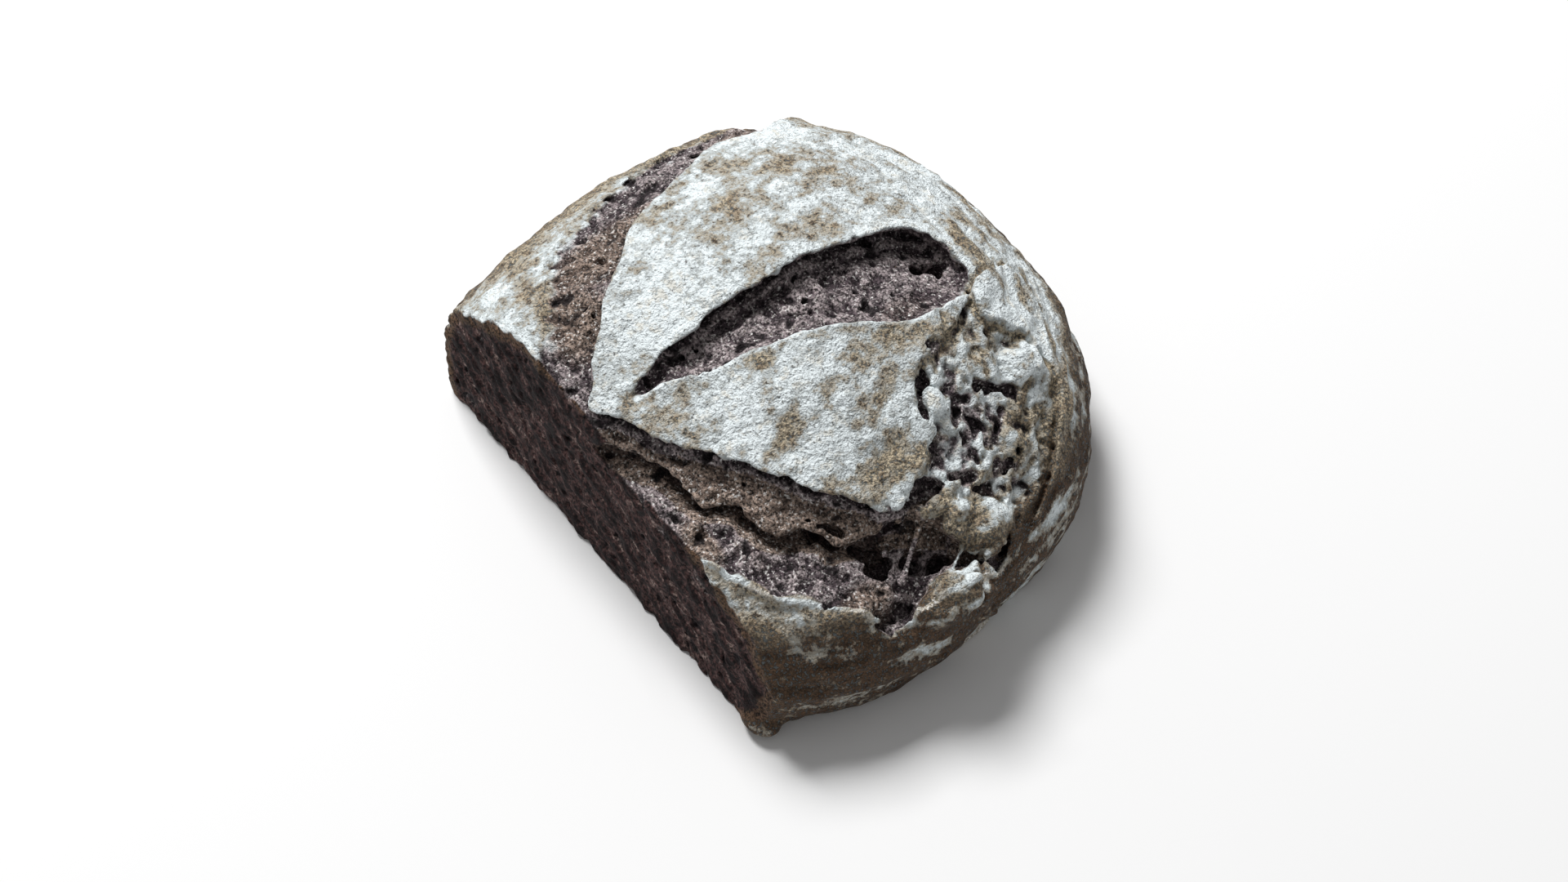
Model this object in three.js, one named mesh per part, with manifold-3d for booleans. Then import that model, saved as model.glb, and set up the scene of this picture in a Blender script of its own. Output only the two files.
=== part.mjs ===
// Half-round sourdough loaf, millimetres, +Z up.
// One baked solid: a low dome on a flat foot, sliced off by one knife cut that faces -Y,
// with three scored openings and a torn patch sunk into its crust.
import * as THREE from 'three';
import { mergeVertices } from 'three/addons/utils/BufferGeometryUtils.js';
import Module from 'manifold-3d';

// ---- driving dimensions ----
const HEIGHT = 92;
const BULGE_HEIGHT = 24; // the loaf is widest here
const FOOT_SCALE = 0.955; // the foot's outline against the outline at the bulge
const CROWN_POWER = 1.75; // 2 is an ellipse, 1 is a cone
const AXIS = new THREE.Vector2(4.5, -4); // where the loaf's upright axis stands
const CROWN_SHIFT = new THREE.Vector2(-12, 11); // how far the top leans from that axis

// From the axis to the crust at the bulge, anticlockwise from +X, one radius every 30 degrees.
const BULGE_RADII = [108, 107, 105, 101, 110, 119, 118, 128, 149, 130, 129, 120];

const CUT_FOOT_Y = -94.7; // where the knife cut meets the board
const CUT_LEAN = THREE.MathUtils.degToRad(8); // the cut leans back over the loaf

const NUB = { x: 88, y: -91, z: 5, radius: 6.5 }; // pinch of dough at the near corner of the foot

// Openings, seen from above. depth is how far the torn dough lies under the crust,
// undercut is how far the floor slides under the raised lip, along the direction lip.
const OPENINGS = [
  {
    depth: 5, undercut: 1, lip: [0.8, 0.6],
    outline: [[-84, 48], [-93, 24], [-96, 4], [-87, -24], [-80, -47], [-59, -65], [-38, -80],
      [-20, -96], [-11, -94], [-22, -76], [-46, -46], [-69, -10], [-78, 24]],
  },
  {
    depth: 12, undercut: 6, lip: [-0.9, 0.4],
    outline: [[-8, -72], [-5, -48], [-8, -22], [-5, 6], [0, 36], [12, 49], [32, 54],
      [38, 38], [34, 12], [18, -18], [6, -46]],
  },
  {
    depth: 11, undercut: 7, lip: [-0.5, 0.86],
    outline: [[-12, -100], [0, -80], [26, -65], [52, -50], [75, -33], [94, -18], [113, -4],
      [114, -28], [104, -44], [84, -68], [60, -84], [42, -100]],
  },
  {
    depth: 4, undercut: 1, lip: [-0.7, 0.7],
    outline: [[48, 12], [61, 3], [74, -4], [90, -2], [101, 12], [94, 30], [76, 46], [54, 42]],
  },
];

// ---- mesh resolution ----
const AROUND = 60;
const CROWN_RINGS = 13;
const OUTLINE_STEPS = 36;

const wasm = await Module();
wasm.setup();

// A closed mesh as a solid: only positions, shared corners merged, no collapsed triangles.
function toSolid(geometry) {
  const bare = geometry.clone();
  bare.deleteAttribute('normal');
  bare.deleteAttribute('uv');
  const merged = mergeVertices(bare, 1e-3);
  const index = merged.index.array;
  const corners = [];
  for (let i = 0; i < index.length; i += 3) {
    const [a, b, c] = [index[i], index[i + 1], index[i + 2]];
    if (a !== b && b !== c && c !== a) corners.push(a, b, c);
  }
  return new wasm.Manifold(new wasm.Mesh({
    numProp: 3,
    vertProperties: new Float32Array(merged.attributes.position.array),
    triVerts: new Uint32Array(corners),
  }));
}

function toGeometry(solid) {
  const mesh = solid.getMesh();
  const geometry = new THREE.BufferGeometry();
  geometry.setAttribute('position', new THREE.BufferAttribute(mesh.vertProperties, 3));
  geometry.setIndex(new THREE.BufferAttribute(mesh.triVerts, 1));
  return geometry;
}

// The bulge's radius at an angle: a smooth closed curve through BULGE_RADII.
const bulgeCurve = new THREE.CatmullRomCurve3(
  BULGE_RADII.map((radius, i) => new THREE.Vector3(radius, i, 0)),
  true, 'catmullrom', 0.5,
);
function bulgeRadius(angle) {
  const turn = angle / (2 * Math.PI);
  return bulgeCurve.getPoint(turn - Math.floor(turn)).x;
}

// The whole dome, lowered by sink: a lathe of unit radius, stretched to the bulge's outline
// at each angle and leaned over towards the crown.
function dome(sink) {
  const profile = [new THREE.Vector2(0, 0), new THREE.Vector2(FOOT_SCALE, 0)];
  profile.push(new THREE.Vector2(1 - (1 - FOOT_SCALE) / 4, BULGE_HEIGHT / 2));
  for (let ring = 0; ring <= CROWN_RINGS; ring += 1) {
    const angle = (Math.PI / 2) * (ring / CROWN_RINGS);
    const reach = ring === CROWN_RINGS ? 0 : Math.cos(angle) ** (2 / CROWN_POWER);
    const rise = Math.sin(angle) ** (2 / CROWN_POWER);
    profile.push(new THREE.Vector2(reach, BULGE_HEIGHT + (HEIGHT - BULGE_HEIGHT) * rise));
  }
  const geometry = new THREE.LatheGeometry(profile, AROUND).rotateX(Math.PI / 2);
  const position = geometry.attributes.position;
  for (let i = 0; i < position.count; i += 1) {
    const [x, y, z] = [position.getX(i), position.getY(i), position.getZ(i)];
    const angle = Math.atan2(y, x);
    const radius = Math.hypot(x, y) * bulgeRadius(angle);
    const lean = Math.max(0, (z - BULGE_HEIGHT) / (HEIGHT - BULGE_HEIGHT));
    position.setXYZ(
      i,
      AXIS.x + CROWN_SHIFT.x * lean + radius * Math.cos(angle),
      AXIS.y + CROWN_SHIFT.y * lean + radius * Math.sin(angle),
      z - sink,
    );
  }
  return toSolid(geometry);
}

// Everything that an opening takes away: its outline, cut straight down and slid under its
// lip, as far as the torn floor, which follows the dome.
function hollow({ depth, undercut, lip, outline }) {
  const curve = new THREE.SplineCurve([...outline, outline[0]].map(([x, y]) => new THREE.Vector2(x, y)));
  const shape = new THREE.Shape(curve.getPoints(OUTLINE_STEPS).slice(0, -1));
  const column = new THREE.ExtrudeGeometry(shape, { depth: HEIGHT + 10, bevelEnabled: false });
  const slide = undercut / depth;
  const position = column.attributes.position;
  const middle = new THREE.Vector2();
  outline.forEach(([x, y]) => middle.add(new THREE.Vector2(x, y).divideScalar(outline.length)));
  const lipHeight = domeHeight(middle.x, middle.y);
  for (let i = 0; i < position.count; i += 1) {
    const below = lipHeight - position.getZ(i);
    position.setX(i, position.getX(i) + lip[0] * slide * below);
    position.setY(i, position.getY(i) + lip[1] * slide * below);
  }
  return toSolid(column).subtract(dome(depth));
}

// The dome's height over a point, found by halving.
function domeHeight(x, y) {
  let [low, high] = [BULGE_HEIGHT, HEIGHT];
  for (let step = 0; step < 20; step += 1) {
    const z = (low + high) / 2;
    const lean = (z - BULGE_HEIGHT) / (HEIGHT - BULGE_HEIGHT);
    const dx = x - AXIS.x - CROWN_SHIFT.x * lean;
    const dy = y - AXIS.y - CROWN_SHIFT.y * lean;
    const reach = Math.hypot(dx, dy) / bulgeRadius(Math.atan2(dy, dx));
    if (reach ** CROWN_POWER + lean ** CROWN_POWER < 1) low = z;
    else high = z;
  }
  return low;
}

// The slice that the knife took off: a big block in front of the leaning cut.
function slicedOff() {
  const size = 400;
  const block = new THREE.BoxGeometry(size, size, size).translate(0, -size / 2, 0);
  return toSolid(block.rotateX(-CUT_LEAN).translate(0, CUT_FOOT_Y, 0));
}

function nub() {
  const pinch = new THREE.SphereGeometry(NUB.radius, 12, 8).scale(1.3, 1, 0.8);
  const floor = new THREE.BoxGeometry(40, 40, 20).translate(NUB.x, NUB.y, -10);
  return toSolid(pinch.translate(NUB.x, NUB.y, NUB.z)).subtract(toSolid(floor));
}

function sourdoughLoaf() {
  let solid = dome(0);
  OPENINGS.forEach((opening) => { solid = solid.subtract(hollow(opening)); });
  solid = solid.subtract(slicedOff()).add(nub());
  const geometry = toGeometry(solid);
  geometry.computeBoundingBox();
  const middle = geometry.boundingBox.getCenter(new THREE.Vector3());
  geometry.translate(-middle.x, -middle.y, 0);
  geometry.computeVertexNormals();
  const material = new THREE.MeshStandardMaterial({ color: 0x8f7f70, roughness: 0.85, metalness: 0 });
  const mesh = new THREE.Mesh(geometry, material);
  mesh.name = 'sourdough_loaf';
  return mesh;
}

const loaf = new THREE.Group();
loaf.add(sourdoughLoaf());
export default loaf;
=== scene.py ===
import math

import bpy
import numpy as np
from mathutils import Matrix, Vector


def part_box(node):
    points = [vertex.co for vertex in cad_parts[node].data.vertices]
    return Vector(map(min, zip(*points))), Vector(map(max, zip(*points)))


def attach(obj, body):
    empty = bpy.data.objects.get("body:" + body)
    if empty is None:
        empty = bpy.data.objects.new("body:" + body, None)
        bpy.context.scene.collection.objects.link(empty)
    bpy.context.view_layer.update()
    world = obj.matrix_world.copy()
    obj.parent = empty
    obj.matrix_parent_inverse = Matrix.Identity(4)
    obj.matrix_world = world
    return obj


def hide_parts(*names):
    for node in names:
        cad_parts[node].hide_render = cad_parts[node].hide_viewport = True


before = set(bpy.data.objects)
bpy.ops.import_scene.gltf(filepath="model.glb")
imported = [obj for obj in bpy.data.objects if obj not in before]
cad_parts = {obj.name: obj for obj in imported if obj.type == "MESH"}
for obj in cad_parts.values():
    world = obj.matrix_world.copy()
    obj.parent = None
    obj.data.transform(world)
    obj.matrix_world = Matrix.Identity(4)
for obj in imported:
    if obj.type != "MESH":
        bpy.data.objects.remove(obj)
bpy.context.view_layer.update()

import openvdb
from mathutils import Vector

# A sourdough loaf with one end sliced off. The loaf is one solid: its shape is built as a field of
# distances on a grid (millimetres, negative inside the bread), carved as the dough was scored,
# torn and cut, and then turned into one mesh. Every place is in the frame's own axes.

MM = 0.001
GRID = 0.8  # spacing of the distance field
MARGIN = 5.0  # empty room round the loaf in the field

LOW, HIGH = (np.array(corner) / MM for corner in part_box("sourdough_loaf"))
HEIGHT = HIGH[2] - LOW[2]

# ---- the dome, as in the frame ----
BULGE_HEIGHT = 24.0  # where the loaf is widest
FOOT_SCALE = 0.955  # the foot's width as a share of the widest part
CROWN_POWER = 1.75  # 2 makes a round dome, and less makes a flatter one
AXIS = np.array([4.4, -4.0])  # the middle of the widest part
CROWN_SHIFT = np.array([-12.0, 11.0])  # how far the crown stands from that middle
BULGE_RADII = np.array([108, 107, 105, 101, 110, 119, 118, 128, 149, 130, 129, 120], float)
CUT_FOOT_Y = -94.7  # where the cut face meets the foot
CUT_LEAN = math.radians(8)
DRAG_DEGREES = -31  # the knife drew the crumb out along this line of the cut face

# ---- the scored openings, seen from above ----
# lip is the raised edge that overhangs, far the edge where the torn dough meets the crust again.
# floor gives the depth under the crust against the share of the way from lip to far, undercut how
# far the opening slides under its lip for each mm of depth, raise and rim the height of the two
# edges, tear the floor's roughness, and shows the depths between which crust gives way to crumb.
OPENINGS = {
    "left": {
        "lip": [(-88, 72), (-83, 58), (-76, 46), (-75, 34), (-79, 21), (-74, 8), (-69, -6),
                (-66, -20), (-60, -31), (-50, -43), (-42, -55), (-33, -64), (-26, -73), (-17, -80),
                (-8, -95)],
        "far": [(-92, 70), (-97, 54), (-96, 36), (-96, 18), (-94, 0), (-90, -18), (-85, -34),
                (-79, -50), (-66, -64), (-52, -75), (-44, -84), (-34, -98)],
        "floor": [(0, 3.4), (0.12, 4.4), (0.5, 3.2), (0.85, 1.8), (1, 0.3)],
        "slide": (0.8, 0.6), "undercut": 0.6, "raise": 1.6, "rim": 0.0, "tear": 0.3,
        "shows": (0.6, 1.9),
    },
    "middle": {
        "lip": [(-5, -72), (-8, -58), (-7, -45), (-8, -30), (-6, -12), (-5, 0), (-2, 14), (0, 26),
                (1, 38), (5, 47), (14, 51), (24, 52), (34, 50)],
        "far": [(-4, -72), (0, -59), (6, -48), (10, -37), (15, -22), (20, -8), (26, 4), (33, 16),
                (36, 27), (36, 38), (35, 48)],
        "floor": [(0, 8.0), (0.25, 9.0), (0.5, 7.5), (0.8, 5.0), (0.95, 2.8), (1, 0.8)],
        "slide": (-0.9, 0.4), "undercut": 0.8, "raise": 1.6, "rim": 0.7, "tear": 1.0,
        "shows": (0.5, 1.2),
    },
    "lower": {
        "lip": [(-20, -95), (-4, -81), (5, -77), (20, -70), (36, -60), (47, -54), (60, -46),
                (70, -37), (78, -31), (81, -24), (79, -15), (81, -7), (87, -8), (94, -13), (99, -9),
                (101, 1), (103, 8)],
        "far": [(40, -102), (50, -88), (60, -83), (67, -80), (76, -75), (86, -65), (94, -56),
                (100, -50), (105, -42), (108, -30), (110, -18), (110, -6), (107, 3)],
        "floor": [(0, 8.0), (0.4, 11.0), (0.6, 8.5), (0.88, 3.8), (1, 0.8)],
        "slide": (-0.5, 0.86), "undercut": 0.8, "raise": 1.8, "rim": 0.9, "tear": 1.3,
        "shows": (0.5, 1.3),
    },
    "right": {
        "lip": [(34, 48), (42, 36), (45, 26), (49, 15), (53, 6), (61, 2), (68, 3), (71, -3),
                (76, -10), (79, -18), (82, -24)],
        "far": [(36, 47), (45, 44), (50, 49), (57, 56), (68, 58), (78, 53), (87, 44), (96, 33),
                (102, 20), (103, 6), (98, -8), (88, -14)],
        "floor": [(0, 2.4), (0.2, 2.6), (0.7, 2.0), (1, 0.4)],
        "slide": (-0.7, 0.7), "undercut": 0.6, "raise": 0.8, "rim": 0.0, "tear": 0.6,
        "shows": (1.9, 3.6),
    },
}

# A shelf of half-baked dough inside the lower opening, with a ragged edge and a gap behind it.
LEDGE_EDGE = [(-14, -99), (2, -88), (16, -82), (26, -79), (31, -80), (40, -77), (46, -71),
              (53, -70), (62, -67), (68, -59), (71, -54), (77, -53), (80, -46), (82, -34)]
LEDGE_DEPTH = 5.5
GAP_OFF, GAP_WIDTH, GAP_DEPTH = 2.0, 2.5, 4.0  # the gap runs this far from the ledge's edge

LIP_REACH = 8.0  # how far back from its edge a lip swells
RIM_WIDTH = 1.1
CARVE_REACH = 10.0  # how far outside its outline an opening can slide
FADE_HEIGHTS = (22, 44)  # low on the side an opening fades out between these heights

# Deep holes torn into the openings: middle, half lengths, and the turn about +Z in degrees.
HOLES = [
    ((15, 44, 72), (8, 4.5, 7), 55),
    ((-5, -40, 75), (1.8, 5, 4), 0),
    ((9, -12, 74), (2.2, 1.6, 3), 30),
    ((4, 12, 72), (1.8, 1.4, 3), 0),
    ((68, -46, 54), (7, 3, 6), 30),
    ((79, -39, 48), (6, 4.5, 7), 35),
    ((85, -38, 44), (6, 6, 7), 0),
    ((91, -25, 43), (6, 5, 6), 60),
    ((96, -17, 40), (7, 4, 7), 75),
    ((100, -7, 39), (7, 3.4, 6), 80),
    ((101, -43, 41), (3.6, 8, 6), -8),
    ((53, 8, 77), (5.5, 1.2, 5), -50),
    ((60, 3, 74), (4, 1.4, 4), -10),
    ((71, 19, 66), (4.5, 1.3, 4), 30),
    ((79, 24, 60), (1.4, 6, 4), 50),
    ((58, 17, 74), (2.0, 1.4, 3), 20),
    ((63, 30, 68), (3.6, 1.6, 4), 60),
    ((68, 37, 64), (3.4, 2.2, 4), 50),
    ((67, 5, 70), (2, 1.6, 3), 10),
    ((87, 19, 54), (6, 1.1, 5), -60),
    ((82, 3, 61), (4, 1.1, 4), 60),
    ((76, 8, 65), (3, 1.4, 3), -30),
    ((45, 21, 80), (3.6, 2.8, 3), 60),
    ((79, -12, 62), (2.5, 8, 6), -4),
    ((-36, -66, 75), (2.4, 1.6, 2), 0),
    ((-60, -43, 74), (1.8, 1.4, 2), 0),
    ((-77, -49, 64), (3.2, 1.2, 2), -35),
    ((-81, 21, 62), (5, 3, 3), 20),
]

# Chunks of torn dough that stand up beside the openings: middle, half lengths, turn in degrees.
CHUNKS = [
    ((108, -21, 39), (8, 16, 9.5), -8),
    ((96, 1, 45), (9, 12, 9), 35),
    ((90, -8, 52), (6, 6, 7), 0),
    ((84, -12, 54), (4, 7, 5), 0),
    ((58, 9, 71), (5, 4, 5), 0),
    ((79, 27, 56), (4, 6, 6), 20),
    ((62, 48, 62), (8, 8, 6), 0),
]

# Threads of dough left hanging across the deepest tear: two ends and a thickness.
THREADS = [
    ((86, -20, 53), (95, -35, 46), 1.5),
    ((92, -15, 52), (98, -30, 44), 1.4),
    ((98, -9, 48), (102, -20, 42), 1.5),
]

# Folds of the crust: a curve, the height that it stands proud on its left side, and how far back
# that swelling reaches. On its right side the crust drops away at once.
FOLDS = [
    ([(29, 70), (31, 60), (34, 49), (40, 45.5), (45, 44), (50, 49), (57, 56), (68, 58), (77, 54),
      (85, 46), (95, 35), (102, 22)], 2.6, 9),
    ([(73, 53), (70, 61), (64, 63), (56, 67), (46, 72), (36, 73), (30, 69)], 1.6, 5),
    ([(80, 56), (88, 50), (97, 38), (106, 20)], 1.2, 5),
    ([(48, 14), (45, 25), (38, 30)], 1.2, 5),
]

# Swellings of the crust: middle in plan, spread, and height.
SWELLINGS = [
    ((-38, -16), (26, 34), 1.4),
    ((34, -34), (26, 18), 2.0),
    ((42, 58), (13, 10), 1.0),
    ((84, 54), (12, 8), 1.0),
]

GROOVE_OFF, GROOVE_WIDTH, GROOVE_DEPTH = 0.8, 1.0, 0.6  # the groove beside each fold

# The nub of crust at the front corner of the foot.
NUB = np.array([88.0, -91.0, 5.0])
NUB_RADII = np.array([8.4, 6.5, 5.2])

# Where more flour lies, or less where the amount is negative: middle in plan, spread, and amount.
FLOUR_PATCHES = [
    ((95, 2), (9, 9), 0.45), ((107, -20), (6, 15), 0.15), ((20, 66), (26, 12), -0.25),
    ((56, -90), (8, 8), -0.4), ((38, -34), (40, 24), -0.1), ((20, -66), (14, 4), -0.4),
    ((70, -28), (7, 6), -0.45), ((64, -40), (10, 3), -0.4), ((-22, -40), (15, 24), 0.3),
    ((-58, 2), (6, 8), 0.35), ((-68, 40), (8, 14), 0.35), ((-26, 38), (20, 20), -0.1),
    ((42, 54), (14, 9), 0.5), ((24, -46), (13, 10), 0.5), ((32, -18), (8, 12), 0.4),
    ((54, -30), (16, 7), 0.4), ((-80, -75), (6, 5), 0.9), ((88, -76), (11, 8), 0.6),
    ((76, 64), (5, 8), 0.4), ((98, 8), (5, 5), 0.4), ((60, 2), (10, 6), 0.25),
    ((60, 52), (7, 7), 0.35), ((76, 18), (24, 24), -0.05), ((-64, 14), (9, 8), -0.7),
    ((-48, 28), (9, 10), -0.65), ((-44, 4), (6, 10), -0.65), ((-33, -12), (6, 6), -0.6),
    ((-12, 20), (7, 6), -0.5), ((-12, -2), (6, 7), -0.4), ((-60, -22), (6, 8), -0.45),
    ((-22, 4), (5, 5), -0.4), ((16, -32), (6, 7), -0.6), ((40, -36), (5, 9), -0.5),
    ((50, -15), (8, 6), -0.55), ((70, -14), (8, 8), -0.45), ((62, -22), (4, 6), -0.45),
    ((4, -73), (14, 6), -0.5), ((32, 10), (7, 8), -0.5), ((52, -50), (12, 4), -0.3),
    ((42, 18), (7, 7), -0.5), ((40, 66), (8, 4), -0.5), ((-60, -70), (15, 9), -0.5),
    ((-88, -62), (12, 8), -0.5), ((-72, -72), (10, 8), -0.3), ((88, -91), (14, 12), -0.6),
    ((-101, -5), (13, 60), -0.5), ((60, 20), (12, 12), -0.15),
]

# Where the torn dough browned in the oven: middle in plan, spread, and amount.
BROWNED_PATCHES = [
    ((-62, -34), (14, 40), 0.9), ((-44, -66), (20, 14), 0.9), ((-78, 40), (16, 22), 0.7),
    ((46, -82), (12, 5), 0.9), ((94, -50), (7, 12), 0.8), ((60, -72), (10, 5), 0.3),
    ((28, 22), (7, 14), 0.4), ((106, -22), (6, 16), 0.9), ((92, 0), (9, 12), 0.7),
]

# Lumps of the dough: each layer is the lumps' height and their size, in mm.
CRUST_LUMPS = ((1.0, 34), (0.45, 13), (0.4, 5.5))
CRUST_GRAIN = ((0.3, 2.8), (0.22, 1.7))
FOLD_LUMPS = ((1.0, (18, 2.8)), (0.7, (6, 1.6)))
TORN_LUMPS = ((0.8, 8), (0.8, 3.4))
CRUMB_LUMPS = ((0.8, 2.6), (0.6, 1.7))
FRAYED_EDGE = ((0.4, 4.5), (0.5, 2.0))
FRAYED_LEDGE = ((0.8, 6.0), (0.7, 2.2))
CRACK_DEPTH, FOLD_HEIGHT, WRINKLE_HEIGHT = 0.3, 0.8, 1.2

# Strands of dough across the right opening: height, grain and direction in degrees. Between them
# its floor is deeper by the gap.
STRANDS = ((1.8, (11, 3.4), 140), (1.2, (5, 2.0), 125))
STRAND_GAP = 0.8

WRINKLED = [((20, 62), (30, 13), 1.0)]  # where the crust is finely wrinkled, behind the middle score
LEFT_SCORE_ENDS = -30  # left of this x the torn crumb has fewer and smaller bubbles
FOOT_LIFT = 0.05  # a hair's breadth between the foot and the floor

SHEET_STEPS = 420  # side of a noise sheet, wide enough for the whole loaf at any turn
FOLD_STEPS = (900, 220)  # size of the sheet wound round the loaf: once round, and up its side
SHEET_REACH = 125.0  # how far from the loaf's axis that sheet begins, in mm
rng = np.random.default_rng(20)

axes = [np.arange(LOW[i] - MARGIN, HIGH[i] + MARGIN + GRID, GRID, dtype=np.float32) for i in range(3)]
SHAPE = tuple(len(axis) for axis in axes)
PLAN = SHAPE[:2]
plan_x, plan_y = np.meshgrid(axes[0], axes[1], indexing="ij")


# ---- small tools for fields and curves ----
def smoothstep(low, high, value):
    t = np.clip((value - low) / (high - low), 0, 1)
    return t * t * (3 - 2 * t)


def smooth_max(a, b, blend):
    """The larger of two fields, rounded over about blend millimetres where they meet."""
    h = np.clip(0.5 + 0.5 * (a - b) / blend, 0, 1)
    return b + (a - b) * h + blend * h * (1 - h)


def closed_curve(values, turn):
    """A smooth closed curve through evenly spaced values, at turn from 0 to 1."""
    count = len(values)
    place = (turn % 1) * count
    first = np.floor(place).astype(int)
    t = (place - first).astype(np.float32)
    a, b, c, d = (values[(first + k) % count].astype(np.float32) for k in (-1, 0, 1, 2))
    return b + 0.5 * t * (c - a + t * (2 * a - 5 * b + 4 * c - d + t * (3 * (b - c) + d - a)))


def open_curve(points, steps=10):
    """A smooth curve through a few points in plan."""
    p = np.array(points, float)
    p = np.vstack([2 * p[0] - p[1], p, 2 * p[-1] - p[-2]])
    t = np.linspace(0, 1, steps, endpoint=False)[:, None]
    runs = []
    for a, b, c, d in zip(p, p[1:], p[2:], p[3:]):
        runs.append(b + 0.5 * t * (c - a + t * (2 * a - 5 * b + 4 * c - d + t * (3 * (b - c) + d - a))))
    return np.vstack(runs + [p[-2:-1]])


def nearest_on(curve):
    """From every point of the plan: the distance to a curve, and how far left of it the point is."""
    best, left = np.full(PLAN, 1e6, np.float32), np.zeros(PLAN, np.float32)
    for a, b in zip(curve, curve[1:]):
        run = b - a
        x, y = plan_x - a[0], plan_y - a[1]
        along = np.clip((x * run[0] + y * run[1]) / max(run @ run, 1e-9), 0, 1)
        off = (x - along * run[0]) ** 2 + (y - along * run[1]) ** 2
        nearer = off < best
        best[nearer] = off[nearer]
        left[nearer] = ((run[0] * y - run[1] * x) / max(math.hypot(*run), 1e-9))[nearer]
    return np.sqrt(best), left


def within(outline):
    """Which points of the plan lie inside a closed outline."""
    hit = np.zeros(PLAN, bool)
    for (x0, y0), (x1, y1) in zip(outline, np.roll(outline, -1, axis=0)):
        crosses = (plan_y < y0) != (plan_y < y1)
        if y0 != y1:
            hit ^= crosses & (plan_x < x0 + (plan_y - y0) * (x1 - x0) / (y1 - y0))
    return hit


def spread_matrix(count, step, cell):
    """Weights that spread a coarse row of values smoothly over count fine places."""
    place = np.arange(count) * step / cell
    first = np.floor(place).astype(int)
    t = place - first
    weights = np.zeros((count, first.max() + 4), np.float32)
    rows = np.arange(count)
    spline = ((1 - t) ** 3, 3 * t**3 - 6 * t**2 + 4, -3 * t**3 + 3 * t**2 + 3 * t + 1, t**3)
    for k, weight in enumerate(spline):
        weights[rows, first + k] = weight / 6
    return weights


def grid_noise(cell, shape=None):
    """Smooth noise on the whole grid, about -1 to 1. cell is its grain in mm, one size or one per axis."""
    shape = shape or SHAPE
    cells = np.broadcast_to(cell, len(shape))
    spreads = [spread_matrix(n, GRID, c) for n, c in zip(shape, cells)]
    field = rng.standard_normal([m.shape[1] for m in spreads]).astype(np.float32)
    for axis, spread in enumerate(spreads):
        field = np.moveaxis(np.tensordot(spread, field, (1, axis)), 0, axis)
    return np.ascontiguousarray(field / (2 * field.std()))


def lumps(layers, shape=None, under=0):
    """Noise of several sizes, one on top of another, on top of what is under them."""
    return sum((height * grid_noise(size, shape) for height, size in layers), under)


def sample_sheet(sheet, u, v):
    """A sheet's values at any places, given in grid steps."""
    u = np.clip(u, 0, sheet.shape[0] - 1.001)
    v = np.clip(v, 0, sheet.shape[1] - 1.001)
    i, j = u.astype(np.int32), v.astype(np.int32)
    u, v = u - i, v - j
    return ((sheet[i, j] * (1 - u) + sheet[i + 1, j] * u) * (1 - v)
            + (sheet[i, j + 1] * (1 - u) + sheet[i + 1, j + 1] * u) * v)


def sample_plan(plan, x, y):
    """A plan's values at any places in mm."""
    return sample_sheet(plan, (x - axes[0][0]) / GRID, (y - axes[1][0]) / GRID)


def drawn_out(grain, degrees, x, y):
    """Noise drawn out along one direction of a plane: grain is its size along and across in mm."""
    turn = math.radians(degrees)
    along, across = x * math.cos(turn) + y * math.sin(turn), y * math.cos(turn) - x * math.sin(turn)
    sheet = grid_noise(grain, (SHEET_STEPS, SHEET_STEPS))
    return sample_sheet(sheet, along / GRID + SHEET_STEPS / 2, across / GRID + SHEET_STEPS / 2)


def wound_round(sheet, x, y, z):
    """A sheet's values with the sheet wound once round the loaf, from its foot up over its top."""
    turn = (np.arctan2(y - AXIS[1], x - AXIS[0]) / (2 * math.pi)) % 1
    up = z - axes[2][0] + 0.5 * (SHEET_REACH - np.hypot(x - AXIS[0], y - AXIS[1]))
    return sample_sheet(sheet, *np.broadcast_arrays(turn * (len(sheet) - 2), up / GRID))


def sample_grid(field, points):
    """A field's values at points in mm."""
    place = [np.clip((points[:, k] - axes[k][0]) / GRID, 0, SHAPE[k] - 1.001) for k in range(3)]
    i, j, k = (p.astype(np.int32) for p in place)
    u, v, w = place[0] - i, place[1] - j, place[2] - k
    total = np.zeros(len(points), np.float32)
    for di, dj, dk in np.ndindex(2, 2, 2):
        weight = np.abs(1 - di - u) * np.abs(1 - dj - v) * np.abs(1 - dk - w)
        total += weight * field[i + di, j + dj, k + dk]
    return total


def bump_plan(patches, power=2):
    """Soft round patches in plan, the strongest one at each place."""
    total = np.zeros(PLAN, np.float32)
    for (x, y), (wide, deep), strength in patches:
        off = ((plan_x - x) / wide) ** 2 + ((plan_y - y) / deep) ** 2
        total = np.maximum(total, strength * np.exp(-off ** (power / 2)))
    return total


# ---- the loaf ----
def dome_field():
    """Distance to the smooth, uncut dome."""
    z = axes[2]
    up = np.clip((z - BULGE_HEIGHT) / (HEIGHT - BULGE_HEIGHT), 0, None)
    low = np.clip((BULGE_HEIGHT - z) / BULGE_HEIGHT, 0, 1.5)
    foot = 1 - (1 - FOOT_SCALE) * low**2
    dx = axes[0][:, None, None] - AXIS[0] - CROWN_SHIFT[0] * up
    dy = axes[1][None, :, None] - AXIS[1] - CROWN_SHIFT[1] * up
    reach = np.hypot(dx, dy) / closed_curve(BULGE_RADII, np.arctan2(dy, dx) / (2 * math.pi)) / foot
    value = (reach**CROWN_POWER + up**CROWN_POWER) ** (1 / CROWN_POWER) - 1
    slopes = np.gradient(value, GRID)
    slope = np.sqrt(sum(s * s for s in slopes))
    return np.clip(value / np.clip(slope, 0.004, None), -60, 60).astype(np.float32)


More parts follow.
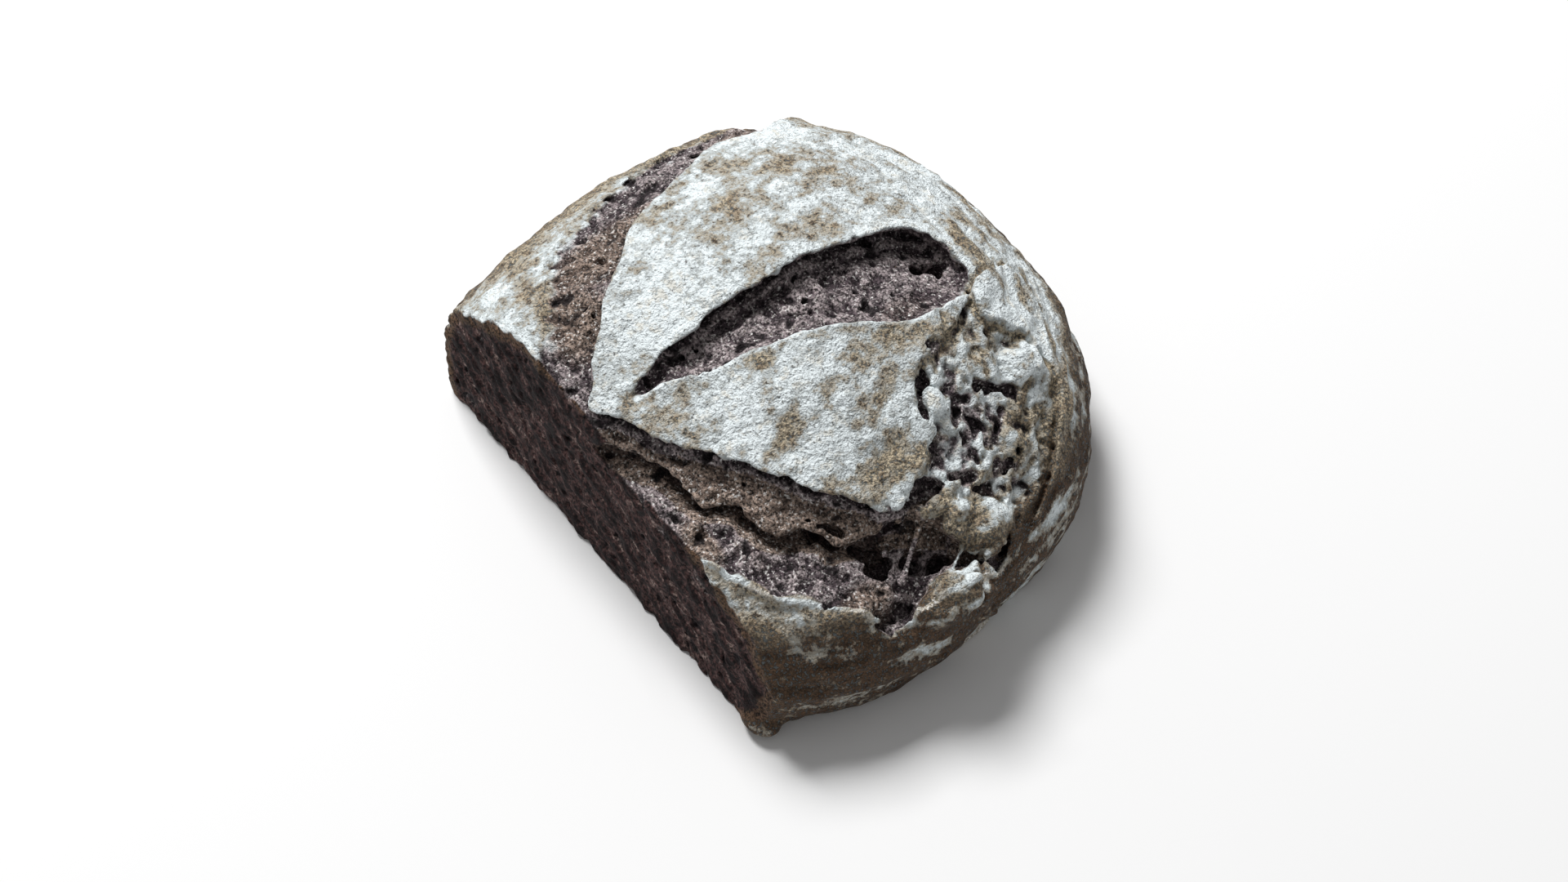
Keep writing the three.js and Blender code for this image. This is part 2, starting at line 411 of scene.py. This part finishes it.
def opening_plans(opening):
    """For one opening: signed distance to its outline, floor depth, raised edges and their rim."""
    lip, far = open_curve(opening["lip"]), open_curve(opening["far"])
    to_lip, to_far = nearest_on(lip)[0], nearest_on(far)[0]
    inner = within(np.vstack([lip, far[::-1]]))
    edge = np.where(inner, -1, 1) * np.minimum(to_lip, to_far)
    share = to_lip / (to_lip + to_far + 1e-3)
    depth = np.interp(share, *zip(*opening["floor"])).astype(np.float32)
    depth = np.minimum(depth, 0.2 + 0.45 * (to_lip + to_far))
    rim = opening["rim"] * np.exp(-(to_far / RIM_WIDTH) ** 2)
    raised = opening["raise"] * np.exp(-(to_lip / LIP_REACH) ** 2) * (~inner)
    raised *= smoothstep(0, 6, to_far)
    return {"edge": edge.astype(np.float32), "depth": depth, "raised": raised + rim, "rim": rim}


def carve(solid, crust, opening, edge, depth, torn):
    """Takes an opening out of the bread, its outline slid under the lip as it goes down.

    edge and depth are plans, and torn is the roughness of the new surface in mm.
    """
    xs, ys = np.nonzero(edge < CARVE_REACH)
    window = (slice(xs.min(), xs.max() + 1), slice(ys.min(), ys.max() + 1), slice(None))
    under = -crust[window]
    slid = opening["undercut"] * under
    x = axes[0][window[0], None, None] - opening["slide"][0] * slid
    y = axes[1][None, window[1], None] - opening["slide"][1] * slid
    rough = torn[window]
    deep = (sample_plan(depth, x, y) + rough) * smoothstep(*FADE_HEIGHTS, axes[2])
    removed = np.maximum(sample_plan(edge, x, y) + 0.3 * rough, under - deep)
    solid[window] = smooth_max(solid[window], -removed, 1.0)


def window_round(low, high):
    """The part of the grid between two corners, and its places along each axis."""
    first = [max(0, int((low[k] - axes[k][0]) / GRID)) for k in range(3)]
    last = [min(SHAPE[k], int((high[k] - axes[k][0]) / GRID) + 2) for k in range(3)]
    window = tuple(slice(a, max(a, b)) for a, b in zip(first, last))
    places = [axes[k][window[k]].reshape([-1 if k == n else 1 for n in range(3)]) for k in range(3)]
    return window, places


def stamp(solid, middle, half, degrees=0.0, fill=False, blend=0.5, ragged=None):
    """Takes one rounded hole out of the bread, or adds a rounded chunk to it."""
    middle = np.array(middle)
    reach = max(half) + 4
    window, (x, y, z) = window_round(middle - reach, middle + reach)
    x, y, z = x - middle[0], y - middle[1], z - middle[2]
    c, s = math.cos(math.radians(degrees)), math.sin(math.radians(degrees))
    along, across = x * c + y * s, y * c - x * s
    ball = np.sqrt((along / half[0]) ** 2 + (across / half[1]) ** 2 + (z / half[2]) ** 2)
    ball = (ball - 1) * min(half)
    if ragged is not None:
        ball = ball + ragged[window]
    if fill:
        solid[window] = -smooth_max(-solid[window], -ball, blend)
    else:
        solid[window] = smooth_max(solid[window], -ball, blend)


def stretch_thread(solid, start, end, thickness, ragged):
    """Adds a thin ragged thread of dough between two points."""
    start, end = np.array(start, float), np.array(end, float)
    window, places = window_round(np.minimum(start, end) - 4, np.maximum(start, end) + 4)
    run = end - start
    along = sum((places[k] - start[k]) * run[k] for k in range(3)) / (run @ run)
    along = np.clip(along, 0, 1)
    off = np.sqrt(sum((places[k] - start[k] - along * run[k]) ** 2 for k in range(3)))
    thread = off - thickness / 2 * (1 + (2 * along - 1) ** 2) + ragged[window]
    solid[window] = -smooth_max(-solid[window], -thread, 1.0)


def pores(solid, where, count, sizes):
    """Opens air bubbles along the surface where the mask is set."""
    spots = np.argwhere((np.abs(solid) < GRID) & where)
    for spot in spots[rng.integers(0, len(spots), count)]:
        middle = [axes[k][spot[k]] for k in range(3)] + rng.uniform(-0.6, 0.6, 3)
        radius = sizes[0] + (sizes[1] - sizes[0]) * rng.random() ** 3
        stamp(solid, middle, radius * rng.uniform(0.7, 1.5, 3), rng.uniform(0, 180))


def blurred(field, reach):
    """A field averaged over reach grid steps each way."""
    for axis in range(3):
        total = np.cumsum(field, axis=axis, dtype=np.float32)
        field = (np.roll(total, -reach, axis) - np.roll(total, reach + 1, axis)) / (2 * reach + 1)
    return field


def fold_plans():
    """How far the folds raise the crust, and the groove that runs along their right side."""
    relief, groove = np.zeros(PLAN, np.float32), np.zeros(PLAN, np.float32)
    for points, height, reach in FOLDS:
        away, left = nearest_on(open_curve(points))
        raised = height * np.exp(-(away / reach) ** 2) * smoothstep(-0.8, 0.8, left)
        relief = np.maximum(relief, raised)
        groove = np.maximum(groove, np.exp(-((away - GROOVE_OFF) / GROOVE_WIDTH) ** 2) * (left < 0))
    return relief, groove


def on_side(y, z):
    """1 on the loaf's sides and 0 on its top: the side starts higher at the back."""
    back = smoothstep(35, 60, y)
    return smoothstep(80 + 6 * back, 56 + 14 * back, z)


def lines(noise):
    """Thin wandering lines from noise, 1 along each line and 0 between them."""
    return np.clip(1 - np.abs(noise) * 3.5, 0, 1)


def creases(grain):
    """Thin wandering lines through the whole grid."""
    return lines(grid_noise(grain))


def ledge_plan():
    """Signed distance to the ledge's ragged edge: negative on the ledge, beside the lip."""
    edge = open_curve(LEDGE_EDGE)
    outline = np.vstack([edge, open_curve(OPENINGS["lower"]["lip"])[::-1]])
    return np.where(within(outline), -1, 1) * nearest_on(edge)[0] + lumps(FRAYED_LEDGE, PLAN)


def grid_places():
    """The grid's places along x, y and z, shaped to be used together."""
    return [axis.reshape([-1 if k == n else 1 for n in range(3)]) for k, axis in enumerate(axes)]


def baked_crust(plans):
    """The field of the crust before it is opened, and the plans and sheets of its folds."""
    x, y, z = grid_places()
    crust = dome_field()
    relief, groove = fold_plans()
    relief += bump_plan(SWELLINGS) + sum(plan["raised"] for plan in plans.values())
    crust -= (relief - GROOVE_DEPTH * groove)[:, :, None]
    crust += lumps(CRUST_LUMPS)
    crust += lumps(CRUST_GRAIN) + CRACK_DEPTH * creases(7) * grid_noise(20)
    folds = lumps(FOLD_LUMPS, FOLD_STEPS)
    crust += FOLD_HEIGHT * on_side(y, z) * wound_round(folds, x, y, z)
    wrinkles = drawn_out((15, 2.0), -8, plan_x, plan_y) * bump_plan(WRINKLED)
    crust += WRINKLE_HEIGHT * wrinkles[:, :, None]
    return crust, {"folds": folds, "groove": groove, "wrinkles": wrinkles}


def knife_cut():
    """Signed distance to the cut face, positive on the side sliced off, and its drag marks."""
    x, y, z = grid_places()
    cut = (CUT_FOOT_Y - y + math.tan(CUT_LEAN) * z) * math.cos(CUT_LEAN) + 0 * x
    plane_x, plane_z = np.meshgrid(axes[0], axes[2], indexing="ij")
    return cut, drawn_out((4.4, 1.5), DRAG_DEGREES, plane_x, plane_z - HEIGHT / 2)


def torn_strands():
    """How much deeper or shallower the right opening's floor lies, with strands standing on it."""
    strands = STRAND_GAP
    for height, grain, degrees in STRANDS:
        strands = strands - height * lines(drawn_out(grain, degrees, plan_x, plan_y))
    return strands


def opened_loaf(crust, plans, ledge_side, torn, strands, rough):
    """The loaf with its openings carved, its chunks added and its holes torn."""
    solid = crust.copy()
    for name, opening in OPENINGS.items():
        depth, tears = plans[name]["depth"], opening["tear"] * torn
        edge = lumps(FRAYED_EDGE, PLAN, plans[name]["edge"])
        if name == "lower":
            gap = np.exp(-((ledge_side - GAP_OFF) / GAP_WIDTH) ** 2)
            ledge = smoothstep(0.7, -0.7, ledge_side)
            depth = (depth + GAP_DEPTH * gap) * (1 - ledge) + LEDGE_DEPTH * ledge
            tears *= (1 - 0.7 * ledge)[:, :, None]
        if name == "right":
            depth = (depth + strands) * (1 - 0.4 * smoothstep(10, 35, plan_y))
            tears += 0.15 * rough
        carve(solid, crust, opening, edge, depth.astype(np.float32), tears)
    for middle, half, degrees in CHUNKS:
        stamp(solid, middle, half, degrees, fill=True, blend=3.0, ragged=1.2 * torn)
    for middle, half, degrees in HOLES:
        stamp(solid, middle, half, degrees, ragged=0.8 * torn)
    return solid


def loaf_fields():
    """Every field that the mesh and its finish are taken from, by name."""
    x, y, z = grid_places()
    plans = {name: opening_plans(opening) for name, opening in OPENINGS.items()}
    crust, worn = baked_crust(plans)
    cut, drag = knife_cut()
    torn = lumps(TORN_LUMPS) + 0.9 * creases(7) + 0.4 * creases(3.6) - 0.4
    strands = torn_strands()
    rough = lumps(CRUMB_LUMPS) + 0.6 * creases(3.2)
    ledge_side = ledge_plan()
    solid = opened_loaf(crust, plans, ledge_side, torn, strands, rough)

    whole = np.maximum(solid, cut)
    open_crumb = (crust < -1) & (cut < -1.5)
    pores(solid, open_crumb & (x > LEFT_SCORE_ENDS), 240, (0.6, 1.4))
    pores(solid, open_crumb & (x < LEFT_SCORE_ENDS), 60, (0.6, 1.1))
    solid += rough * smoothstep(0.3, 1.6, -crust)
    for start, end, thickness in THREADS:
        stretch_thread(solid, start, end, thickness, ragged=0.3 * torn)
    solid = np.maximum(solid, cut + 0.5 * rough + 0.8 * drag[:, None, :])
    pores(solid, (np.abs(cut) < 2) & (crust < -1.5), 260, (0.6, 1.5))
    stamp(solid, NUB, NUB_RADII, fill=True, blend=3.0)
    solid = np.maximum(solid, FOOT_LIFT - z)
    return {
        "solid": solid, "crust": crust, "cut": cut.astype(np.float32), "whole": whole,
        "smooth": blurred(solid, 3), "plans": plans, "drag": drag, "ledge": ledge_side, **worn,
    }


def loaf_skin(solid):
    """The field's zero surface as points in mm and four-sided faces."""
    field = openvdb.FloatGrid(background=10.0)
    field.copyFromArray(np.clip(solid, -10, 10).astype(np.float32))
    points, _, faces = field.convertToPolygons(isovalue=0.0, adaptivity=0.0)
    points = points * GRID + np.array([axis[0] for axis in axes])
    return largest_skin(points.astype(np.float32), faces[:, ::-1].astype(np.int64))


def largest_skin(points, faces):
    """Keeps the largest connected skin, which leaves out loose crumbs and closed bubbles."""
    label = np.arange(len(points))
    edges = np.vstack([faces[:, [k, (k + 1) % 4]] for k in range(4)])
    while True:
        lowest = np.minimum(label[edges[:, 0]], label[edges[:, 1]])
        lowered = label.copy()
        np.minimum.at(lowered, edges[:, 0], lowest)
        np.minimum.at(lowered, edges[:, 1], lowest)
        lowered = lowered[lowered]
        if np.array_equal(lowered, label):
            break
        label = lowered
    kept = label == np.bincount(label).argmax()
    index = np.cumsum(kept) - 1
    return points[kept], index[faces[kept[faces[:, 0]]]]


# How much flour lies on the top, how much less on the sides and at the foot, and how much each
# thing adds or takes away: the openings' edges and rims, the folds' grooves and the wrinkles.
FLOUR_ON_TOP, FLOUR_ON_SIDE, FLOUR_AT_FOOT = 0.8, -0.14, -0.2
FLOUR_BY_EDGE, FLOUR_ON_RIM, FLOUR_IN_GROOVE, FLOUR_ON_WRINKLE = -0.3, 0.55, -0.35, 0.7


def flour_amount(fields, points):
    """How much flour lies at each point: under 0.2 the crust is bare, over 0.9 it is white."""
    x, y, z = points.T
    top = smoothstep(44, 66, z)
    patches = sum(strength * np.exp(-((x - at[0]) / wide) ** 2 - ((y - at[1]) / deep) ** 2)
                  for at, (wide, deep), strength in FLOUR_PATCHES)
    amount = FLOUR_ON_TOP * top + FLOUR_ON_SIDE + FLOUR_AT_FOOT * smoothstep(30, 5, z)
    amount += patches * smoothstep(5, 35, z)
    for plan in fields["plans"].values():
        amount += FLOUR_BY_EDGE * np.exp(-(sample_plan(plan["edge"], x, y) / 2.5) ** 2)
        amount += FLOUR_ON_RIM * sample_plan(plan["rim"], x, y)
    drifts = drawn_out((13, 7), 95, x, y) + drawn_out((5, 2.6), 95, x, y)
    strokes = drawn_out((3.6, 1.6), 95, x, y)
    folds = wound_round(fields["folds"], x, y, z)
    side = on_side(y, z)
    on_top = (0.22 + 0.12 * smoothstep(0, 30, x)) * drifts
    on_top += (0.14 + 0.2 * smoothstep(50, 65, x)) * strokes
    amount += FLOUR_IN_GROOVE * sample_plan(fields["groove"], x, y)
    amount += FLOUR_ON_WRINKLE * sample_plan(fields["wrinkles"], x, y)
    streaks = (0.45 + 0.3 * smoothstep(30, 70, x + y)) * folds
    return amount + on_top * (1 - side) + streaks * side


def finish_marks(fields, points):
    """The values at each point that the material reads."""
    x, y, z = points.T
    depth = -sample_grid(fields["crust"], points)
    # painted light and shade: the blurred solid is above 0 on ridges and below 0 in hollows, so it
    # lightens ridges and darkens hollows
    ridge_light_hollow_shade = sample_grid(fields["smooth"], points)
    shows_from, shows_by = np.full(PLAN, 0.6, np.float32), np.full(PLAN, 1.4, np.float32)
    rim = np.zeros(PLAN, np.float32)
    for name, opening in OPENINGS.items():
        near = fields["plans"][name]["edge"] < 4
        shows_from[near], shows_by[near] = opening["shows"]
        rim = np.maximum(rim, fields["plans"][name]["rim"])
    bare = smoothstep(sample_plan(shows_from, x, y), sample_plan(shows_by, x, y), depth)
    ledge = smoothstep(1.0, -1.0, sample_plan(fields["ledge"], x, y)) * smoothstep(2.0, 4.0, depth)
    browned = np.maximum(sample_plan(bump_plan(BROWNED_PATCHES, 4), x, y), ledge)
    into_cut = -sample_grid(fields["cut"], points)
    drag = sample_sheet(fields["drag"], (x - axes[0][0]) / GRID, (z - axes[2][0]) / GRID)
    return {
        # more flour on ridges and less in hollows: painted light on the ridges and painted shade in the
        # hollows
        "flour": flour_amount(fields, points) + 0.5 * np.clip(ridge_light_hollow_shade, -1, 0.5),
        "bare_crumb": bare,
        "browned": browned,
        # darker low on the sides: partly a browner bake, partly painted shade where the sides turn away
        # from the light
        "low_side_bake_and_shade": smoothstep(62, 34, z),
        "rim": sample_plan(rim, x, y),
        "ridge_light_hollow_shade": ridge_light_hollow_shade,
        # painted shade in the bubbles: how far a point lies below the bread's surface before its bubbles
        # were opened
        "pore_shade": smoothstep(0.5, 1.4, -sample_grid(fields["whole"], points)),
        # painted shade in the deepest hollows of the openings, below 11 mm under the crust
        "deep": smoothstep(11, 16, depth),
        "sliced": smoothstep(1.3, 0.5, into_cut) * smoothstep(0.2, 0.9, depth),
        "near_crust": smoothstep(7.0, 2.0, depth),
        "drag": drag,
    }


def build_loaf():
    fields = loaf_fields()
    points, faces = loaf_skin(fields["solid"])
    mesh = bpy.data.meshes.new("sourdough_bread")
    mesh.from_pydata((points * MM).tolist(), [], faces.tolist())
    mesh.shade_smooth()
    for name, values in finish_marks(fields, points).items():
        layer = mesh.attributes.new(name, "FLOAT", "POINT")
        layer.data.foreach_set("value", np.ascontiguousarray(values, np.float32))
    loaf = bpy.data.objects.new("sourdough_bread", mesh)
    bpy.context.scene.collection.objects.link(loaf)
    return loaf


# ---- materials ----
# Patterns in the finish: name, size of a grain in mm, and how much finer detail it has. Real flour
# and crumb have finer grains than the grit and the specks, which are as coarse as they need to show.
PATTERNS = (("blister", 5.0, 5.0), ("grain", 2.6, 4.0), ("grit", 1.0, 1.0), ("speck", 1.3, 2.0))

MARK_NAMES = ("flour", "bare_crumb", "browned", "low_side_bake_and_shade", "rim", "ridge_light_hollow_shade", "pore_shade", "deep", "sliced",
              "near_crust", "drag")


UNDER, OVER, MIXED = 6, 7, 2  # the colour sockets of a Mix node


def to_linear(colour):
    """An sRGB hex colour as linear RGBA."""
    channels = [int(colour[k:k + 2], 16) / 255 for k in (1, 3, 5)]
    return [c / 12.92 if c <= 0.04045 else ((c + 0.055) / 1.055) ** 2.4 for c in channels] + [1.0]


def add_node(tree, kind, output, inputs, **settings):
    """Adds one node with its settings and links, and gives back one of its outputs."""
    node = tree.nodes.new(kind)
    for name, value in settings.items():
        setattr(node, name, value)
    for socket, value in inputs.items():
        if isinstance(value, bpy.types.NodeSocket):
            tree.links.new(value, node.inputs[socket])
        else:
            node.inputs[socket].default_value = to_linear(value) if isinstance(value, str) else value
    return node.outputs[output]


def lay_over(tree, under, over, pattern, bare, full, most=1.0):
    """One finish laid over another, from none where the pattern is bare to the most where it is full."""
    share = {"Value": pattern, "From Min": bare, "From Max": full, "To Max": most}
    share = add_node(tree, "ShaderNodeMapRange", "Result", share, interpolation_type="SMOOTHSTEP")
    return add_node(tree, "ShaderNodeMix", MIXED, {0: share, UNDER: under, OVER: over}, data_type="RGBA")


def gritty(tree, marks, colour):
    """Fine light and dark grains over a finish."""
    grains = {"Value": marks["grit"], "From Min": 0.68, "From Max": 0.32}
    grains = add_node(tree, "ShaderNodeMapRange", "Result", grains)
    inputs = {0: 0.9, UNDER: colour, OVER: grains}
    return add_node(tree, "ShaderNodeMix", MIXED, inputs, data_type="RGBA", blend_type="OVERLAY")


def crust_layer(tree, marks):
    """Baked crust: tan on top, browned to umber low on the sides, partly a real darker bake and partly
    painted shade, with dark scorched specks.
    """
    # the umber low on the sides is partly browner crust and partly painted shade
    colour = lay_over(tree, "#a29681", "#4b3b2d", marks["low_side_bake_and_shade"], 0.1, 0.9)
    colour = lay_over(tree, colour, "#5a4534", marks["blister"], 0.48, 0.62, 0.5)
    colour = lay_over(tree, colour, "#a99e8c", marks["blister"], 0.44, 0.30, 0.6)
    colour = lay_over(tree, colour, "#2c211b", marks["grain"], 0.54, 0.66, 0.75)
    return lay_over(tree, colour, "#d8d2c8", marks["rim"], 0.25, 0.7, 0.9)


def flour_layer(tree, marks, crust):
    """Wheat flour baked on: cool white where it is thick, grey where the crust shows through."""
    dusted = marks["flour"]
    for pattern, much in (("blister", -1.6), ("grain", -1.6), ("grit", -0.3)):
        more = {0: marks[pattern], 1: much, 2: dusted}
        dusted = add_node(tree, "ShaderNodeMath", "Value", more, operation="MULTIPLY_ADD")
    colour = lay_over(tree, crust, "#b5afa2", dusted, -1.78, -1.38, 0.85)
    colour = lay_over(tree, colour, "#c6cdce", dusted, -1.44, -1.12, 0.95)
    thick = lay_over(tree, "#eef6f8", "#ddd6c6", marks["blister"], 0.50, 0.62, 0.6)
    colour = lay_over(tree, colour, thick, dusted, -1.14, -0.82)
    colour = lay_over(tree, colour, "#939b9d", marks["grit"], 0.54, 0.70, 0.4)
    return lay_over(tree, colour, "#4a413a", marks["speck"], 0.60, 0.72, 0.7)


def torn_crumb_layer(tree, marks):
    """Dough torn open in the oven: damp mauve grey, with painted light on its rags, pale flecks painted as
    glints, and painted shade in its bubbles and deepest hollows.
    """
    # the crumb's tone is lighter on ridges and darker in hollows: painted light and shade
    tone = {0: marks["ridge_light_hollow_shade"], 1: 0.35, 2: marks["blister"]}
    tone = add_node(tree, "ShaderNodeMath", "Value", tone, operation="MULTIPLY_ADD")
    damp = lay_over(tree, "#493f43", "#958a8b", tone, 0.34, 0.66)
    damp = lay_over(tree, damp, "#2a2124", marks["grain"], 0.53, 0.65, 0.85)
    dry = lay_over(tree, "#5f5149", "#8e7d72", tone, 0.30, 0.70)
    dry = lay_over(tree, dry, "#3c2f29", marks["grain"], 0.55, 0.65, 0.6)
    colour = lay_over(tree, damp, dry, marks["browned"], 0.1, 0.9)
    # pale flecks: painted glints of the moist crumb
    colour = lay_over(tree, colour, "#cdc9c6", marks["speck"], 0.44, 0.34, 0.85)
    # darker in the deepest hollows: painted shade
    colour = lay_over(tree, colour, "#33282a", marks["deep"], 0.0, 1.0, 0.7)
    # near black in the bubbles: painted shade
    return lay_over(tree, colour, "#1b1517", marks["pore_shade"], 0.0, 1.0, 0.9)


def sliced_crumb_layer(tree, marks):
    """Crumb cut with a knife: dark and close, drawn out in slanting streaks with painted highlights on
    their palest tops, painted shade in its pores, brown at the crust.
    """
    tone = {0: marks["drag"], 1: 0.22, 2: marks["grain"]}
    tone = add_node(tree, "ShaderNodeMath", "Value", tone, operation="MULTIPLY_ADD")
    colour = lay_over(tree, "#180b0c", "#4a3432", tone, 0.36, 0.60)
    # the palest tops of the drag streaks: painted highlights
    colour = lay_over(tree, colour, "#96827b", tone, 0.60, 0.82, 0.9)
    # near black in the pores of the cut face: painted shade
    colour = lay_over(tree, colour, "#130d0f", marks["pore_shade"], 0.0, 1.0, 0.9)
    return lay_over(tree, colour, "#5f4a38", marks["near_crust"], 0.3, 1.0, 0.8)


def bread_material():
    """Sourdough bread, dusted with flour, scored, baked and cut: matt and grainy all over."""
    material = bpy.data.materials.new("baked_sourdough_bread")
    material.use_nodes = True
    tree = material.node_tree
    shader = tree.nodes["Principled BSDF"]
    place = add_node(tree, "ShaderNodeTexCoord", "Object", {})
    marks = {name: add_node(tree, "ShaderNodeAttribute", "Fac", {}, attribute_name=name)
             for name in MARK_NAMES}
    for name, size_mm, detail in PATTERNS:
        pattern = {"Vector": place, "Scale": 1 / (size_mm * MM), "Detail": detail, "Roughness": 0.65}
        marks[name] = add_node(tree, "ShaderNodeTexNoise", "Fac", pattern)

    crust = flour_layer(tree, marks, gritty(tree, marks, crust_layer(tree, marks)))
    torn = gritty(tree, marks, torn_crumb_layer(tree, marks))
    sliced = gritty(tree, marks, sliced_crumb_layer(tree, marks))
    colour = lay_over(tree, crust, torn, marks["bare_crumb"], 0.0, 1.0)
    colour = lay_over(tree, colour, sliced, marks["sliced"], 0.0, 1.0)
    tree.links.new(colour, shader.inputs["Base Color"])
    shader.inputs["Roughness"].default_value = 0.8
    shader.inputs["Specular IOR Level"].default_value = 0.25
    relief = {0: marks["grit"], 1: -0.4, 2: marks["grain"]}
    relief = add_node(tree, "ShaderNodeMath", "Value", relief, operation="MULTIPLY_ADD")
    bump = {"Height": relief, "Distance": 2.2 * MM, "Strength": 1.0}
    tree.links.new(add_node(tree, "ShaderNodeBump", "Normal", bump), shader.inputs["Normal"])
    return material


# ---- floor, light and camera ----
FLOOR_HALF = 3.0  # metres
LENS, SENSOR = 50, 36  # mm
CAMERA_TURN, CAMERA_RISE = math.radians(50.6), math.radians(56.95)
CAMERA_AIM = Vector((2.7, -10.7, 0.0)) * MM
CAMERA_DISTANCE = 0.822
KEY_PLACE, KEY_SIZE, KEY_WATTS = (-1.90, 0.30, 2.60), 1.2, 117  # metres, metres and watts
SKY_STRENGTH = 0.26


def stage_floor():
    mesh = bpy.data.meshes.new("studio_floor")
    corners = [(x * FLOOR_HALF, y * FLOOR_HALF, 0) for x, y in ((-1, -1), (1, -1), (1, 1), (-1, 1))]
    mesh.from_pydata(corners, [], [(0, 1, 2, 3)])
    floor = bpy.data.objects.new("studio_floor", mesh)
    bpy.context.scene.collection.objects.link(floor)
    material = bpy.data.materials.new("matt_white_paper")
    material.use_nodes = True
    shader = material.node_tree.nodes["Principled BSDF"]
    shader.inputs["Base Color"].default_value = to_linear("#f4f4f4")
    shader.inputs["Roughness"].default_value = 0.9
    mesh.materials.append(material)


def key_light():
    """One large soft light behind the loaf's left side, aimed at it."""
    data = bpy.data.lights.new("key", "AREA")
    data.size = KEY_SIZE
    data.energy = KEY_WATTS
    light = bpy.data.objects.new("key", data)
    bpy.context.scene.collection.objects.link(light)
    light.location = KEY_PLACE
    light.rotation_euler = (-light.location).to_track_quat("-Z", "Y").to_euler()


def camera():
    data = bpy.data.cameras.new("camera")
    data.lens = LENS
    data.sensor_width = SENSOR
    view = bpy.data.objects.new("camera", data)
    bpy.context.scene.collection.objects.link(view)
    level = math.cos(CAMERA_RISE)
    back = Vector((math.sin(CAMERA_TURN) * level, -math.cos(CAMERA_TURN) * level, math.sin(CAMERA_RISE)))
    view.location = CAMERA_AIM + back * CAMERA_DISTANCE
    view.rotation_euler = (-back).to_track_quat("-Z", "Y").to_euler()
    bpy.context.scene.camera = view


camera()
stage_floor()
key_light()
world = bpy.data.worlds.new("studio")
world.use_nodes = True
world.node_tree.nodes["Background"].inputs["Color"].default_value = (1, 1, 1, 1)
world.node_tree.nodes["Background"].inputs["Strength"].default_value = SKY_STRENGTH
bpy.context.scene.world = world
bpy.context.scene.view_settings.view_transform = "Standard"

loaf = build_loaf()
loaf.data.materials.append(bread_material())
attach(loaf, "root")
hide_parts("sourdough_loaf")
